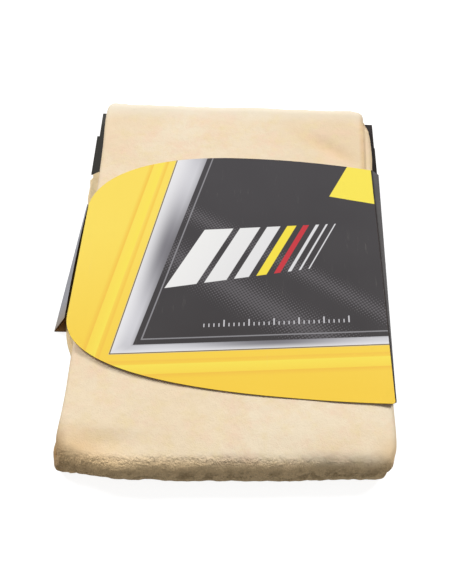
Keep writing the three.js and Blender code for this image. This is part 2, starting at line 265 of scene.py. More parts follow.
def make_chamois():
    """Soft suede: pale cream with faint peach and straw drifts, and a nap of short matted fibres.
    It is warmer towards the far right. Light and shade are painted into its colour: its near half
    is paler, its far rim has a pale painted sheen, and warm painted shade lies in the dent, along
    the ledge and at both near corners, with darker painted shade at the near left tip. Where the
    leather bends it has warm painted shade, with a warm painted lift of light at the front of the
    near roll, and its nap stands up in nubs, with painted shade in dark patches and specks between
    them."""
    material, tree, shader = start_material(
        "chamois_suede", Roughness=0.92, Specular_IOR_Level=0.15,
        Sheen_Weight=0.3, Sheen_Roughness=0.5, Sheen_Tint=tone(255, 238, 214),
    )
    where = object_place(tree)
    x, y, z = axes(tree, where)
    nap_speckle, nap_height = add_fibre(tree, where, 0.9 * MM, 4.5 * MM)
    nub_speckle, nub_height = add_fibre(tree, where, 1.5 * MM, 4.4 * MM)
    broad = noise_value(tree, where, 11.0)
    peach = noise_value(tree, object_place(tree, centre=(0.4, 0.2, 0.1)), 60.0, 5.0, 0.7)
    straw = noise_value(tree, object_place(tree, centre=(0.1, 0.5, 0.3)), 95.0, 5.0, 0.7)
    patchy = noise_value(tree, object_place(tree, centre=(0.2, 0.3, 0.7)), 120.0, 3.0, 0.6)

    # bends, where warm shade is painted: all of them, those that turn down, the rough ones, and
    # their lower and deeper parts
    bent = ramp(tree, z, 0.0225, 0.0165, smooth=True)
    warm = product(tree, bent, ramp(tree, y, 0.1, 0.13, 0.7, 0.0))
    turned = maths(tree, "MAXIMUM", bent, ramp(tree, y, -0.1425, -0.149, smooth=True))
    turned = product(tree, turned, ramp(tree, y, -0.09, -0.12, 0.2, 1.0))
    rough = product(tree, turned, ramp(tree, z, 0.006, 0.012, 0.3, 1.0, smooth=True))
    low = product(tree, rough, ramp(tree, z, 0.0195, 0.0140, 0.05, 1.2))
    # a warm painted lift of light at the front of the near roll
    roll_front_light = product(tree, rough, ramp(tree, y, -0.144, -0.153, 0.1, 0.85, smooth=True))
    # painted shade in dark patches on the rough lower parts
    patches = product(tree, ramp(tree, patchy, 0.52, 0.38, 0.0, 0.42, smooth=True), low)
    # painted shade as dark specks between the nubs
    pit_shade = product(tree, ramp(tree, nub_speckle, 0.55, 0.0, 0.0, 0.5), low)

    # marked places: a warmer far right, painted shade in the dent, along the ledge and at the near
    # corners, and a pale painted sheen on the far rim
    far_right = product(tree, ramp(tree, x, -0.01, 0.07, 0.0, 0.6), ramp(tree, y, 0.04, 0.11))
    # painted warm shade in the dent
    off_dent = apart(tree, maths(tree, "ADD", y, product(tree, x, DENT_SLOPE)), 0.14692)
    dent = product(
        tree,
        ramp(tree, off_dent, 0.013, 0.0, 0.0, 0.7, smooth=True),
        ramp(tree, apart(tree, x, 0.066), 0.036, 0.004, smooth=True),
    )
    # painted shade along the ledge, where the leaf below shows past the top one
    off_ledge = apart(tree, maths(tree, "SUBTRACT", x, product(tree, y, LEDGE_LEAN)), 0.0912)
    ledge = product(
        tree,
        ramp(tree, off_ledge, 0.0035, 0.0, 0.0, 0.6, smooth=True),
        ramp(tree, y, 0.06, 0.08),
    )
    # a pale painted sheen on the far rim
    rim = product(tree, ramp(tree, y, 0.130, 0.147, 0.0, 0.8), ramp(tree, z, 0.010, 0.020))
    # painted warm shade on both near corners
    near_sides = maths(
        tree, "MAXIMUM",
        ramp(tree, x, -0.05, -0.092, 0.0, 0.7, smooth=True),
        ramp(tree, x, 0.082, 0.099, 0.0, 0.6, smooth=True),
    )
    near_corner_shade = product(tree, near_sides, ramp(tree, y, -0.120, -0.142, smooth=True))
    # painted darker shade at the near left tip
    near_left_tip_shade = product(tree, ramp(tree, x, -0.094, -0.103), ramp(tree, y, -0.118, -0.138))

    cream = blend_colours(
        tree, ramp(tree, broad, 0.35, 0.65, smooth=True), tone(248, 225, 191), tone(251, 235, 208),
    )
    colour = layered(tree, cream, (
        # painted light: the near half is paler
        (ramp(tree, y, -0.02, -0.13, 0.0, 0.5), tone(255, 238, 208)),
        (far_right, tone(240, 214, 177)),
        (dent, tone(238, 206, 158)),
        (ledge, tone(222, 182, 124)),
        (ramp(tree, peach, 0.46, 0.7, 0.0, 0.7), tone(251, 219, 190)),
        (ramp(tree, straw, 0.48, 0.72, 0.0, 0.7), tone(247, 226, 179)),
        (ramp(tree, nap_speckle, 0.0, 1.0, 0.13, 0.0), tone(206, 172, 126)),
        # warm painted shade below the top, fading out at the far end
        (warm, tone(255, 229, 176)),
        # warm painted shade where the leather turns down, most at the near end
        (product(tree, turned, 0.35), tone(252, 212, 160)),
        (rim, tone(248, 240, 222)),
        (roll_front_light, tone(254, 221, 170)),
        (near_corner_shade, tone(240, 202, 148)),
        (patches, tone(146, 116, 74)),
        (pit_shade, tone(140, 112, 76)),
        (product(tree, near_left_tip_shade, 0.85), tone(168, 132, 90)),
    ))
    tree.links.new(colour, shader.inputs["Base Color"])
    nubs = maths(tree, "SUBTRACT", nub_height, MEAN_FIBRE_HEIGHT)
    nubs = product(tree, nubs, ramp(tree, rough, 0.0, 1.0, 0.0, 6.0))
    height = maths(tree, "ADD", product(tree, nap_height, 0.6), nubs)
    raise_surface(tree, shader, height, 0.6, 0.5 * MM)
    return material


def make_pulp(name, specular, fibre_sizes, dark, light, strength, depth):
    """Bare board: matted pulp between two tones, with a shallow relief."""
    material, tree, shader = start_material(name, Roughness=0.9, Specular_IOR_Level=specular)
    speckle, height = add_fibre(tree, object_place(tree), *fibre_sizes)
    tree.links.new(blend_colours(tree, speckle, dark, light), shader.inputs["Base Color"])
    raise_surface(tree, shader, height, strength, depth)
    return material


def finish_ink(tree, shader, colour, scuffed, scuffing, varnish):
    """Ink on board: scuffs show the board through it, and the varnish is uneven."""
    inputs = {"Place": object_place(tree), "Scuffing": scuffing, "Varnish": varnish}
    marks = place(tree, "ShaderNodeGroup", inputs, node_tree=handled_ink)
    shown = blend_colours(tree, marks.outputs["Scuff"], colour, scuffed)
    tree.links.new(shown, shader.inputs["Base Color"])
    tree.links.new(marks.outputs["Roughness"], shader.inputs["Roughness"])
    raise_surface(tree, shader, marks.outputs["Height"], 0.12, 0.15 * MM)


def make_charcoal_ink():
    """Charcoal with painted light: a little paler on the sleeve's left side and darker on its
    right.
    """
    material, tree, shader = start_material("charcoal_ink", Specular_IOR_Level=0.02)
    where = object_place(tree)
    drift = ramp(tree, noise_value(tree, where, 14.0), 0.35, 0.65)
    paler = blend_colours(tree, drift, tone(73, 73, 71), tone(80, 80, 78))
    darker = blend_colours(tree, drift, tone(56, 52, 52), tone(63, 59, 59))
    # painted light: paler towards the sleeve's left, darker towards its right
    colour = blend_colours(tree, ramp(tree, axes(tree, where)[0], -0.05, 0.05), paler, darker)
    finish_ink(tree, shader, colour, tone(130, 126, 120), 0.2, 0.48)
    return material


def make_silver_ink():
    """Grey with a faint metal fleck, browner towards its near end, with a dark painted shadow
    along its top, under the front panel's edge."""
    material, tree, shader = start_material("silver_ink", Specular_IOR_Level=0.0)
    where = object_place(tree)
    _, y, z = axes(tree, where)
    brown, grey = tone(176, 162, 144), tone(174, 174, 180)
    flecks = ramp(tree, noise_value(tree, where, 1800.0, detail=1.0), 0.3, 0.7, 0.0, 0.18)
    # painted shadow under the front panel's edge: a dark wedge along the top of the wall
    above_wedge = maths(tree, "SUBTRACT", z, ramp(tree, y, -0.0478, 0.055, 0.0179, 0.0094))
    colour = blend_colours(tree, ramp(tree, y, -0.05, -0.03), brown, grey)
    colour = layered(tree, colour, (
        (flecks, tone(176, 176, 182)),
        (ramp(tree, above_wedge, -0.2 * MM, 0.2 * MM), tone(40, 30, 14)),
    ))
    finish_ink(tree, shader, colour, tone(200, 198, 192), 0.15, 0.42)
    return material


def make_glue():
    """Clouded glue with a soft, uneven surface."""
    material, tree, shader = start_material(
        "hot_melt_glue", Roughness=0.3, Subsurface_Weight=0.15, Subsurface_Scale=0.001, IOR=1.48,
    )
    where = object_place(tree)
    cloud = ramp(tree, noise_value(tree, where, 500.0, detail=3.0), 0.35, 0.65)
    colour = blend_colours(tree, cloud, tone(222, 203, 158), tone(236, 224, 190))
    tree.links.new(colour, shader.inputs["Base Color"])
    raise_surface(tree, shader, noise_value(tree, where, 300.0), 0.3, 0.3 * MM)
    return material


# Printed design of the front and back, in millimetres

# Half the width over which a printed edge turns from one ink to the next
PRINT_EDGE = 0.12
DOT_PITCH = 1.9
# Place along X from which the ticks are counted, beyond the left end of their row
TICKS_FROM = -100.0


def print_place(tree):
    x, y, _ = axes(tree, object_place(tree, scale=(1 / MM, 1 / MM, 1 / MM)))
    return x, y


def side_of_line(tree, x, y, through, turn):
    """Distance from a straight line through a point, turned in degrees from +X; it grows towards
    the line's left."""
    angle = math.radians(turn)
    across = (-math.sin(angle), math.cos(angle))
    offset = through[0] * across[0] + through[1] * across[1]
    total = maths(tree, "ADD", product(tree, x, across[0]), product(tree, y, across[1]))
    return maths(tree, "SUBTRACT", total, offset)


def beyond(tree, distance, edge=0.0, soft=PRINT_EDGE):
    """1 where the distance is more than the edge's."""
    return ramp(tree, distance, edge - soft, edge + soft)


def within(tree, distance, edge=0.0, soft=PRINT_EDGE):
    """1 where the distance is less than the edge's."""
    return ramp(tree, distance, edge - soft, edge + soft, 1.0, 0.0)


def stripe(tree, distance, low, high, soft=PRINT_EDGE):
    """1 between two distances."""
    return product(tree, beyond(tree, distance, low, soft), within(tree, distance, high, soft))


def add_dots(tree, colour, x, y):
    """Two bands of fine dots, which fade out across each band."""
    turned = object_place(tree, turn=(0, 0, math.radians(58)))
    cells = place(
        tree, "ShaderNodeTexVoronoi",
        {"Vector": turned, "Scale": 1 / (DOT_PITCH * MM), "Randomness": 0.0},
        voronoi_dimensions="2D",
    )
    spread = side_of_line(tree, x, y, (40, -20), -32)
    size = maths(
        tree, "ADD",
        product(tree, stripe(tree, spread, 4, 18, 5), 0.4),
        product(tree, stripe(tree, spread, -38, -14, 9), 0.45),
    )
    dots = beyond(tree, maths(tree, "SUBTRACT", size, cells.outputs["Distance"]), soft=0.06)
    return blend_colours(tree, product(tree, dots, 0.42), colour, tone(128, 124, 128))


def add_slashes(tree, colour, x, y):
    """A row of slanted slashes, from wide to narrow."""
    over = product(tree, side_of_line(tree, x, y, (0, 8), 64), -1.0)
    tall = product(
        tree,
        beyond(tree, side_of_line(tree, x, y, (0, -19), 11)),
        within(tree, side_of_line(tree, x, y, (0, 24), 5)),
    )
    white = blend_colours(
        tree, ramp(tree, over, -30, 60), tone(246, 245, 243), tone(224, 223, 226),
    )
    yellow, red = tone(252, 230, 72), tone(202, 52, 62)
    slashes = (
        (-24.0, -7.0, white), (-3.0, 9.0, white), (13.0, 21.0, white), (25.0, 30.5, yellow),
        (34.5, 38.0, red), (42.0, 44.0, white), (48.0, 49.2, white), (53.2, 54.0, white),
    )
    return layered(tree, colour, [
        (product(tree, stripe(tree, over, low, high), tall), ink) for low, high, ink in slashes
    ])


def add_ticks(tree, colour, x, y):
    """A row of fine ticks, every fifth one longer."""
    level = side_of_line(tree, x, y, (0, -56), 4)
    row = stripe(tree, x, -18.4, 77.4)
    for pitch, half_width, height in ((3.2, 0.35, 2.6), (16.0, 0.45, 5.0)):
        off_tick = maths(tree, "PINGPONG", maths(tree, "SUBTRACT", x, TICKS_FROM), pitch / 2)
        tick = product(
            tree, within(tree, off_tick, half_width, 0.1), stripe(tree, level, 0, height), row,
        )
        colour = blend_colours(tree, tick, colour, tone(206, 204, 208))
    return colour


def add_border(tree, colour, x, y):
    """A yellow border on the left and near sides, with straight tints in it, and a silver band
    with dark hairlines between the border and the field."""
    near = product(tree, side_of_line(tree, x, y, (0, -74), 4), -1.0)
    depth = maths(tree, "MAXIMUM", side_of_line(tree, x, y, (-60, 0), 79), near)
    gold = blend_colours(tree, ramp(tree, y, -100, 20), tone(253, 212, 72), tone(255, 226, 96))
    for low, high, soft_low, fades_to, ink in (
        (5.0, 8.0, 0.5, 0.0, tone(250, 202, 76)),
        (8.0, 15.0, 0.25, 0.35, tone(255, 232, 88)),
        (15.0, 18.5, 0.25, 0.0, tone(249, 200, 74)),
    ):
        tint = product(
            tree,
            beyond(tree, depth, low, soft_low),
            ramp(tree, depth, low, high, 1.0, fades_to),
            within(tree, depth, high, 0.1),
        )
        gold = blend_colours(tree, tint, gold, ink)

    inner = maths(
        tree, "MAXIMUM", side_of_line(tree, x, y, (-43, 0), 76), maths(tree, "ADD", near, 6.5),
    )
    band = product(tree, beyond(tree, inner), within(tree, depth))
    share = maths(tree, "DIVIDE", inner, maths(tree, "SUBTRACT", inner, depth), clamp=True)
    shine = maths(tree, "SINE", product(tree, maths(tree, "ADD", x, y), 0.04))
    silver = blend_colours(
        tree, ramp(tree, shine, -1, 1), tone(126, 124, 130), tone(214, 213, 218),
    )
    silver = layered(tree, silver, (
        (ramp(tree, share, 0.25, 1.0, 0.0, 0.85, smooth=True), tone(243, 242, 244)),
        (ramp(tree, share, 0.0, 0.2, 0.35, 0.0), tone(90, 88, 92)),
    ))
    return layered(tree, colour, (
        (beyond(tree, depth), gold),
        (band, silver),
        (stripe(tree, depth, -0.8, -0.1), tone(110, 92, 48)),
        (stripe(tree, inner, -4.4, -3.5), tone(140, 138, 142)),
    ))


def add_corner_block(tree, colour, x, y):
    """A plain yellow block with a slanted side at the far right corner."""
    block = product(
        tree,
        within(tree, side_of_line(tree, x, y, (74.5, 70), 64)),
        beyond(tree, side_of_line(tree, x, y, (72.4, 54), -11.2)),
    )
    return blend_colours(tree, block, colour, tone(254, 234, 88))


def make_front_print():
    """Charcoal field with bands of dots, slanted slashes, a row of ticks, a yellow border on two
    sides with a silver band, and a yellow block in the corner."""
    material, tree, shader = start_material(
        "front_print", Specular_IOR_Level=0.3, Coat_Weight=0.05, Coat_Roughness=0.25,
    )
    x, y = print_place(tree)
    colour = blend_colours(tree, ramp(tree, y, -90, 90), tone(50, 46, 47), tone(60, 57, 60))
    for add_part in (add_dots, add_slashes, add_ticks, add_border, add_corner_block):
        colour = add_part(tree, colour, x, y)
    finish_ink(tree, shader, colour, tone(214, 208, 196), 0.1, 0.34)
    return material


def make_back_print():
    """Plain charcoal back with one yellow and one silver band."""
    material, tree, shader = start_material("back_print", Specular_IOR_Level=0.25)
    near = side_of_line(tree, *print_place(tree), (0, -60), -4)
    colour = blend_colours(tree, beyond(tree, near), tone(252, 218, 100), tone(68, 65, 66))
    colour = blend_colours(tree, stripe(tree, near, 1.5, 6.5), colour, tone(176, 175, 180))
    finish_ink(tree, shader, colour, tone(206, 200, 190), 0.35, 0.42)
    return material


chamois = make_chamois()
raw_board = make_pulp(
    "raw_board", 0.2, (0.9 * MM, 4 * MM), tone(196, 158, 108), tone(220, 186, 138), 0.3, 0.2 * MM,
)
# cut edges: partly the board's own brown, partly painted shade, dark as in the gaps beneath the
# panels' edges
cut_edge = make_pulp(
    "cut_board_edge", 0.03, (0.5 * MM, 3 * MM), tone(90, 64, 34), tone(118, 88, 52), 0.4, 0.1 * MM,
)

# Board, from its printed side to its inside and its cut edges
charcoal_board = [make_charcoal_ink(), raw_board, cut_edge]
silver_board = [make_silver_ink(), raw_board, cut_edge]
front_board = [make_front_print(), raw_board, cut_edge]
back_board = [make_back_print(), raw_board, cut_edge]

glue = make_glue()

# Mesh helpers


def object_from(name, mesh_in_work, materials, smooth=False):
    mesh = bpy.data.meshes.new(name)
    mesh_in_work.to_mesh(mesh)
    mesh_in_work.free()
    made = bpy.data.objects.new(name, mesh)
    bpy.context.scene.collection.objects.link(made)
    for material in materials:
        mesh.materials.append(material)
    mesh.polygons.foreach_set("use_smooth", [smooth] * len(mesh.polygons))
    return made


def grid_mesh(columns, rows, where):
    """A grid whose points are placed by where(across, along), both from 0 to 1."""
    made = bmesh.new()
    bmesh.ops.create_grid(made, x_segments=columns, y_segments=rows, size=0.5)
    for vertex in made.verts:
        vertex.co = where(vertex.co.x + 0.5, vertex.co.y + 0.5)
    return made


def smooth_step(value, low, high):
    share = min(1.0, max(0.0, (value - low) / (high - low)))
    return share * share * (3 - 2 * share)


# Card sleeve

BOARD = 0.5 * MM
SETBACK = 0.6 * MM
BACK_LEVEL = 0.25 * MM
HEADER_LEVEL = 1.05 * MM
GLUE_FLAP_LEVEL = 24.25 * MM
FRONT_LEVEL = 25.25 * MM

EDGE_SOFTENING = 0.07 * MM
EDGE_ANGLE = math.radians(50)
CURVE_STEPS = 28
PANEL_PITCH = 12 * MM
SHORTEST_EDGE = 0.15 * MM
WALL_GRID = (14, 6)
CREASE_GRID = (20, 6)
HEADER_FOLD_GRID = (20, 8)

# The front panel's dip between its creases
DIP_MIDDLE = -2 * MM
DIP_HALF_WIDTH = 100 * MM
DIP = 0.25 * MM

# How far the middle of each wall bows outwards
LEFT_BOW = 0.4 * MM
RIGHT_BOW = 0.3 * MM

# Creases: far end, near end
RIGHT_BACK = (Vector((108.7, 99.7, 0.25)) * MM, Vector((106.5, -94.4, 0.25)) * MM)
RIGHT_FRONT = (Vector((98.9, 80.9, 25.25)) * MM, Vector((101.6, -106.4, 25.25)) * MM)
LEFT_BACK = (Vector((-109.4, 64.0, 0.25)) * MM, Vector((-118.0, -47.8, 0.25)) * MM)
LEFT_FRONT = (Vector((-101.9, 42.0, 24.25)) * MM, Vector((-104.6, -47.8, 24.25)) * MM)
LEFTWARDS = Vector((-1, 0, 0))

# Line of the header's fold in millimetres: left end, right end
HEADER_FOLD = (Vector((-108.1, 158.55)), Vector((107.1, 151.85)))

# Outlines in millimetres: corners, or ("curve", first handle, second handle, end)
FRONT_OUTLINE = [
    (-105.2, -52.0),
    ("curve", (-105.2, -80.6), (-61.3, -100.4), (41.8, -106.4)),
    ("curve", (61.5, -107.7), (80.6, -108.4), (99.0, -108.4)),
    ("curve", (100.3, -108.4), (101.0, -107.7), (101.0, -106.4)),
    (98.3, 80.9),
    ("curve", (64.3, 87.1), (30.8, 90.2), (-2.1, 90.2)),
    ("curve", (-53.1, 90.2), (-96.3, 75.6), (-102.5, 43.2)),
]
BACK_OUTLINE = [
    (-117.4, -47.8),
    (-104.4, -47.8),
    ("curve", (-94.9, -69.7), (3.9, -94.4), (105.9, -94.4)),
    (108.1, 99.7), (107.1, 99.7), (107.1, 152.0), (-108.1, 158.7),
    (-108.1, 95.0), (-103.6, 95.0), (-103.6, 64.0), (-108.8, 64.0),
]
HEADER_OUTLINE = [
    (-109.9, 92.9), (98.6, 86.2), (107.6, 100.0), (107.6, 126.7), (107.1, 126.7), (107.1, 151.7),
    (-108.1, 158.4), (-108.1, 133.4), (-109.9, 133.4),
]
GLUE_FLAP_OUTLINE = [(-104.0, -47.8), (-89.6, -41.8), (-86.9, 36.0), (-101.3, 42.0)]


def outline_points(outline):
    points = []
    for entry in outline:
        if entry[0] == "curve":
            first, second, end = (Vector(pair).to_3d() for pair in entry[1:])
            points += interpolate_bezier(points[-1], first, second, end, CURVE_STEPS + 1)[1:]
        else:
            points.append(Vector(entry).to_3d())
    return [point * MM for point in points]


def finish_board(board, body, node):
    """Gives a single surface its board thickness, printed side first, then inside and cut edge."""
    thicken = board.modifiers.new("board", "SOLIDIFY")
    thicken.thickness = BOARD
    thicken.offset = 0
    thicken.material_offset = 1
    thicken.material_offset_rim = 2
    soften = board.modifiers.new("cut_edges", "BEVEL")
    soften.width = EDGE_SOFTENING
    soften.segments = 2
    soften.limit_method = "ANGLE"
    soften.angle_limit = EDGE_ANGLE
    if node:
        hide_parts(node)
    if body:
        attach(board, body)


def divide(panel, axis):
    """Cuts a flat face into even strips across an axis."""
    values = [vertex.co[axis] for vertex in panel.verts]
    low, width = min(values), max(values) - min(values)
    cuts = int(width / PANEL_PITCH)
    normal = [0, 0, 0]
    normal[axis] = 1
    for cut in range(1, cuts + 1):
        middle = [0, 0, 0]
        middle[axis] = low + cut * width / (cuts + 1)
        everything = list(panel.verts) + list(panel.edges) + list(panel.faces)
        bmesh.ops.bisect_plane(panel, geom=everything, plane_co=middle, plane_no=normal)


def flat_board(name, outline, level, materials, face_up=True, bow=None):
    """A flat cut panel with its print on one side, divided so that it can bow a little."""
    panel = bmesh.new()
    corners = [panel.verts.new((point.x, point.y, level)) for point in outline_points(outline)]
    face = panel.faces.new(corners)
    face.normal_update()
    if (face.normal.z > 0) != face_up:
        face.normal_flip()
    divide(panel, 0)
    divide(panel, 1)
    bmesh.ops.remove_doubles(panel, verts=list(panel.verts), dist=SHORTEST_EDGE)
    if bow:
        for vertex in panel.verts:
            vertex.co.z += bow(vertex.co)
    return object_from(name, panel, materials)


def panel_bow(point):
    """The front panel dips a little between its creases."""
    across = (point.x - DIP_MIDDLE) / DIP_HALF_WIDTH
    return -DIP * max(0.0, 1 - across * across)


def outward(board, guide):
    """Turns a board's surface so that its printed side looks along guide at its middle."""
    mesh = board.data
    total = Vector((0, 0, 0))
    for polygon in mesh.polygons:
        total += polygon.normal * polygon.area
    if total.dot(Vector(guide)) < 0:
        mesh.flip_normals()
    return board


def wall_board(name, back, front, materials, bow):
    """A wall between two creases, set back from both; it twists, and bows outwards."""
    side = -1 if back[0].x < 0 else 1

    def where(along, up):
        low = back[0].lerp(back[1], along)
        high = front[0].lerp(front[1], along)
        reach = high - low
        share = SETBACK / reach.length
        point = low + reach * (share + up * (1 - 2 * share))
        point.x += side * bow * math.sin(math.pi * up) * math.sin(math.pi * along)
        return point

    wall = object_from(name, grid_mesh(*WALL_GRID, where), materials, smooth=True)
    return outward(wall, (side, 0, 0.3))


def crease_board(name, crease, other, materials, body=None):
    """The bent strip of board at a crease: an arc from the level panel, which lies inwards, to the
    wall, which reaches to the other crease. Both are set back from the crease."""
    level = LEFTWARDS if crease[0].x > 0 else -LEFTWARDS

    def where(along, across):
        corner = crease[0].lerp(crease[1], along)
        wall = other[0].lerp(other[1], along) - corner
        near = corner + level * SETBACK
        far = corner + wall.normalized() * SETBACK
        rest = 1 - across
        pull = 2 * rest * across * math.sin(level.angle(wall) / 2)
        total = rest * rest + pull + across * across
        return (near * rest * rest + corner * pull + far * across * across) / total

    strip = object_from(name, grid_mesh(*CREASE_GRID, where), materials, smooth=True)
    outward(strip, (-level.x, 0, 0.5 if crease[0].z > other[0].z else -0.5))
    finish_board(strip, body, None)
    return strip


def across_crease(crease, from_panel, to_panel):
    """Places either side of a crease, set back from its middle towards two panels, on a line that
    is square to the crease."""
    middle = (crease[0] + crease[1]) / 2
    along = (crease[0] - crease[1]).normalized()
    start = middle + from_panel.normalized() * SETBACK
    across = middle + to_panel.normalized() * SETBACK - start
    return start, start + across - along * across.dot(along)


def make_header_fold():
    """The far edge of the back panel, folded over into the header flap."""
    level = (BACK_LEVEL + HEADER_LEVEL) / 2
    radius = (HEADER_LEVEL - BACK_LEVEL) / 2

    def where(along, round_share):
        x, y = HEADER_FOLD[0].lerp(HEADER_FOLD[1], along)
        angle = math.pi * (round_share - 0.5)
        across, up = radius * math.cos(angle), radius * math.sin(angle)
        return Vector((x * MM, y * MM + across, level + up))

    mesh = grid_mesh(*HEADER_FOLD_GRID, where)
    fold = object_from("header_fold", mesh, charcoal_board, smooth=True)
    finish_board(outward(fold, (0, 1, 0)), "sleeve_back", None)


front_panel = flat_board(
    "printed_front_panel", FRONT_OUTLINE, FRONT_LEVEL, front_board, bow=panel_bow,
)
finish_board(front_panel, "sleeve_front", "front_panel")
back_panel = flat_board("printed_back_panel", BACK_OUTLINE, BACK_LEVEL, back_board, face_up=False)
finish_board(back_panel, "sleeve_back", "back_panel")
header = flat_board("folded_header_flap", HEADER_OUTLINE, HEADER_LEVEL, charcoal_board)
finish_board(header, "sleeve_back", "header_flap")
glue_flap = flat_board("glued_flap", GLUE_FLAP_OUTLINE, GLUE_FLAP_LEVEL, charcoal_board)
finish_board(glue_flap, "sleeve_back", "glue_flap")

left_wall = wall_board("silver_left_wall", LEFT_BACK, LEFT_FRONT, silver_board, LEFT_BOW)
finish_board(left_wall, "sleeve_back", "left_wall")
right_wall = wall_board("charcoal_right_wall", RIGHT_BACK, RIGHT_FRONT, charcoal_board, RIGHT_BOW)
finish_board(right_wall, "sleeve_side", "right_wall")

right_back_crease = crease_board("right_back_crease", RIGHT_BACK, RIGHT_FRONT, charcoal_board)
right_front_crease = crease_board("right_front_crease", RIGHT_FRONT, RIGHT_BACK, charcoal_board)
crease_board("left_back_crease", LEFT_BACK, LEFT_FRONT, silver_board, "sleeve_back")
crease_board("left_front_crease", LEFT_FRONT, LEFT_BACK, silver_board, "sleeve_back")

lean = (RIGHT_FRONT[0] + RIGHT_FRONT[1] - RIGHT_BACK[0] - RIGHT_BACK[1]) / 2
lean.y = 0
start, end = across_crease(RIGHT_BACK, LEFTWARDS, lean)
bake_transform(right_back_crease)
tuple(start)
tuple(end)
start, end = across_crease(RIGHT_FRONT, -lean, LEFTWARDS)
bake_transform(right_front_crease)
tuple(start)
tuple(end)

make_header_fold()

# Glue between flap and front panel

# Places of the spots in millimetres: along Y, and the X and level that they share
GLUE_SPOTS = (("glue_spot_1", -34.9), ("glue_spot_2", -2.9), ("glue_spot_3", 29.1))
GLUE_X = -95.75
GLUE_LEVEL = 24.6
GLUE_RADIUS = 4.4 * MM
GLUE_THICKNESS = 0.3 * MM
GLUE_RIM = 0.12 * MM


def make_glue_spot(node, y):
    """A dab of glue pressed flat between flap and panel, with an uneven outline and round rim."""
    dab = bmesh.new()
    bmesh.ops.create_circle(dab, cap_ends=True, segments=40, radius=GLUE_RADIUS)
    for vertex in dab.verts:
        angle = math.atan2(vertex.co.y, vertex.co.x)
        swell = noise.noise(Vector((math.cos(angle), math.sin(angle), y)))
        vertex.co *= 1 + 0.1 * swell
    grown = bmesh.ops.extrude_face_region(dab, geom=list(dab.faces))
    upper = [item for item in grown["geom"] if isinstance(item, bmesh.types.BMVert)]
    bmesh.ops.translate(dab, vec=(0, 0, GLUE_THICKNESS), verts=upper)
    bmesh.ops.recalc_face_normals(dab, faces=list(dab.faces))
    rims = [
        edge for edge in dab.edges
        if abs(edge.verts[0].co.z - edge.verts[1].co.z) < GLUE_THICKNESS / 2
    ]
    bmesh.ops.bevel(
        dab, geom=rims, affect="EDGES", offset=GLUE_RIM, offset_type="OFFSET", segments=3,
        profile=0.5, material=-1,
    )
    bmesh.ops.translate(dab, vec=Vector((GLUE_X, y, GLUE_LEVEL)) * MM, verts=list(dab.verts))
    spot = object_from("pressed_" + node, dab, [glue], smooth=True)
    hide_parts(node)
    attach(spot, "sleeve_back")


for node, y in GLUE_SPOTS:
    make_glue_spot(node, y)

# Folded skin

SKIN = 1.2 * MM
HALF_WIDTH = 103 * MM
HALF_LENGTH = 152.5 * MM
STACK = 22 * MM
STACK_BASE = 1.6 * MM
BUNDLE_GAP = 0.6 * MM
END_GAP = 2 * MM
LEAF_PITCH = ((STACK - BUNDLE_GAP) / 2 - SKIN) / 2
INNER_LEVEL = SKIN / 2
MIDDLE_LEVEL = INNER_LEVEL + LEAF_PITCH
OUTER_LEVEL = MIDDLE_LEVEL + LEAF_PITCH
LARGE_LOOP_X = HALF_WIDTH - SKIN / 2 - LEAF_PITCH
SMALL_RADIUS = LEAF_PITCH / 2
SMALL_LOOP_X = -(HALF_WIDTH - SKIN / 2 - SMALL_RADIUS)
OUTER_EDGE_X = LARGE_LOOP_X - 8 * MM
MIDDLE_EDGE_X = LARGE_LOOP_X - 4 * MM
INNER_EDGE_X = -(HALF_WIDTH - 3 * MM)
ROLL_Z = STACK_BASE + STACK / 2
ROLL_Y = HALF_LENGTH - STACK / 2
LOOP_SQUARENESS = 0.75
ROLL_SQUARENESS = 0.92

# The stack stands a little towards the far end, and its ends slant by this share of their X
FAR_SHIFT = 1.3 * MM
END_SLANT = 0.012

# Heights: waves of the leaves, waves of the top as (height, size, seed), how far the top lies
# under its full height and is filled out again, and the depths of its hollows and of its ledge
LEAF_WAVE = 0.4 * MM
TOP_WAVES = ((0.5 * MM, 0.07, 3), (0.3 * MM, 0.028, 4), (0.12 * MM, 0.009, 10))
TOP_DROP = 0.35 * MM
FILL = 1.0 * MM
DENT = 1.7 * MM
DIMPLE = 1.3 * MM
LEDGE = 1.6 * MM

# Where the near corners begin along Y, and how far they reach, in millimetres
CORNER_Y = 132
CORNER_REACH = 22

# Stretches across the folded width, each with its share of the grid's columns
ACROSS = (
    ("middle", 14), ("small loop", 12), ("outer", 106), ("outer edge", 12), ("large loop", 16),
    ("inner", 14),
)
# Stretches along the stack, each with its share of the grid's rows
ALONG = (("near under", 42), ("near roll", 32), ("top", 126), ("far roll", 28), ("far under", 42))

# Outward shifts of the stack's sides, as (place along Y, shift), and of its ends, as (place along
# X, shift), in millimetres. The lower bundle spills out on the left between the header and the
# wall and again past the wall's near end, and is drawn in at the near right corner.
LOWER_LEFT = (
    (-150, -0.6), (-146, 0.8), (-138, 2.4), (-128, 1.5), (-107, -0.1), (-83, -0.7), (-70, 0.3),
    (-62, 3.4), (-53, 5.6), (-40, 6.4), (-18, 3.2), (10, 1.0), (38, 1.6), (56, 4.2), (65, 5.9),
    (74, 5.9), (80, 5.8), (84.5, 6.0), (87.5, -0.4), (92, -0.2), (104, -0.2), (127, -0.8),
    (141, -1.4), (149, -3.0),
)
LOWER_RIGHT = (
    (-150, -7.5), (-146, -7.2), (-140, -5.4), (-130, -3.2), (-115, -1.5), (-60, 0.0), (97, -0.2),
    (108, 0.4), (127, 0.2), (135, -0.3), (140, -1.0), (144, -3.4), (149, -7.0),
)
UPPER_LEFT = (
    (-150, -3.0), (-138, -1.4), (-100, -3.0), (100, -3.2), (135, -1.8), (147, -2.2), (152, -4.0),
)
